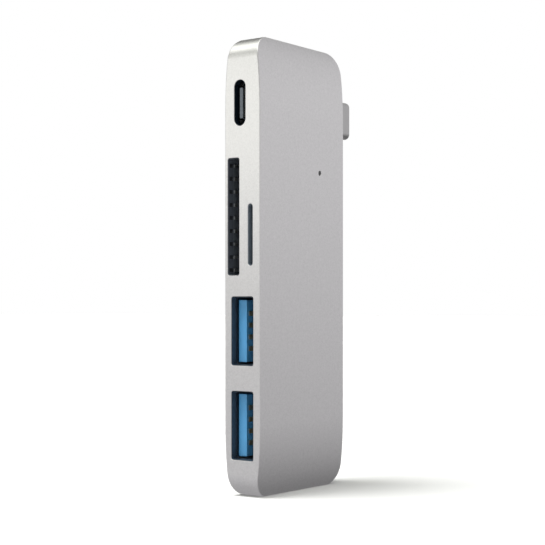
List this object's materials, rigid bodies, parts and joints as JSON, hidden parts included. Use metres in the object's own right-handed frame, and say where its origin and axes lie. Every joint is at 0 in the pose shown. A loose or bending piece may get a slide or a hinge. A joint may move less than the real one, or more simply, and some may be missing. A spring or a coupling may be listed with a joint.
{
  "type": "usb hub",
  "caption": "Slim aluminium USB hub with a fixed USB-C plug on one side and USB-C, SD, microSD and USB-A sockets on the other.",
  "frame": {"origin": "middle of the lower end face, on which the hub stands as pictured", "axes": "+Z along the length, -X out of the port face, +X out of the plug, -Y out of the face with the status light, +Y out of the back cover"},
  "size_m": [0.038, 0.0092, 0.095],
  "materials": {
    "bead_blasted_aluminium": "fine bead-blasted, clear anodised",
    "black_plastic": "moulded, fine matt",
    "blue_plastic": "moulded, satin",
    "socket_steel": "nickel-plated sheet",
    "plug_steel": "fine brushed stainless",
    "contact_gold": "gold flash on copper alloy",
    "circuit_board": "solder mask on glass fibre",
    "chip_black": "epoxy, matt",
    "crystal_can": "plated can",
    "capacitor_ceramic": "fired ceramic",
    "tantalum_yellow": "moulded case",
    "inductor_grey": "pressed iron powder",
    "silicone_pad": "soft silicone",
    "slate_plastic": "moulded, matte",
    "contact_tin": "tin plated",
    "glue_black": "pressure-sensitive adhesive",
    "film_amber": "polyimide film",
    "light_pipe_smoke": "smoked clear plastic",
    "led_body": "moulded, gloss"
  },
  "bodies": {
    "hub": {"housing_shell": "bead_blasted_aluminium", "back_cover": "bead_blasted_aluminium", "cover_glue_frame": "glue_black", "port_liner": "black_plastic", "light_pipe": "light_pipe_smoke", "main_board": "circuit_board", "board_screws": "socket_steel", "hub_controller_chip": "chip_black", "card_reader_chip": "chip_black", "power_delivery_chip": "chip_black", "thermal_pad": "silicone_pad", "crystals": "crystal_can", "power_switches": "chip_black", "power_inductors": "inductor_grey", "bulk_capacitors": "tantalum_yellow", "ceramic_capacitors": "capacitor_ceramic", "status_led": "led_body", "ground_springs": "contact_gold", "insulating_film": "film_amber", "usb_a_upper_shell": "socket_steel", "usb_a_upper_insulator": "blue_plastic", "usb_a_upper_contacts": "contact_gold", "usb_a_upper_fast_contacts": "contact_gold", "usb_a_lower_shell": "socket_steel", "usb_a_lower_insulator": "blue_plastic", "usb_a_lower_contacts": "contact_gold", "usb_a_lower_fast_contacts": "contact_gold", "usb_c_shell": "socket_steel", "usb_c_insulator": "slate_plastic", "usb_c_contacts": "contact_gold", "sd_base": "slate_plastic", "sd_cover": "socket_steel", "sd_contacts": "contact_tin", "sd_lever_pin": "socket_steel", "microsd_base": "slate_plastic", "microsd_cover": "socket_steel", "microsd_contacts": "contact_tin", "microsd_cam_pin": "socket_steel", "microsd_spring": "socket_steel", "plug_shell": "plug_steel", "plug_collar": "black_plastic", "plug_insulator": "black_plastic", "plug_contacts": "contact_gold", "plug_latch_spring": "socket_steel", "plug_paddle_board": "circuit_board", "plug_bracket": "socket_steel", "bracket_screws": "socket_steel"},
    "slider": {"microsd_slider": "black_plastic"},
    "card_detect": {"sd_detect_lever": "contact_gold"}
  },
  "joints": [
    {"name": "slider_travel", "type": "slide", "parent": "hub", "child": "slider", "axis": [1, 0, 0], "range_m": [0, 0.0022], "stiffness_N_per_m": 300, "springref_m": -0.001, "deforming": ["microsd_spring"]},
    {"name": "card_detect_swing", "type": "hinge", "parent": "hub", "child": "card_detect", "pos_m": [0.0056, 0.0025, 0.071], "axis": [0, -1, 0], "range_deg": [0, 12], "stiffness_Nm_per_rad": 0.005, "springref_deg": -2.86}
  ]
}
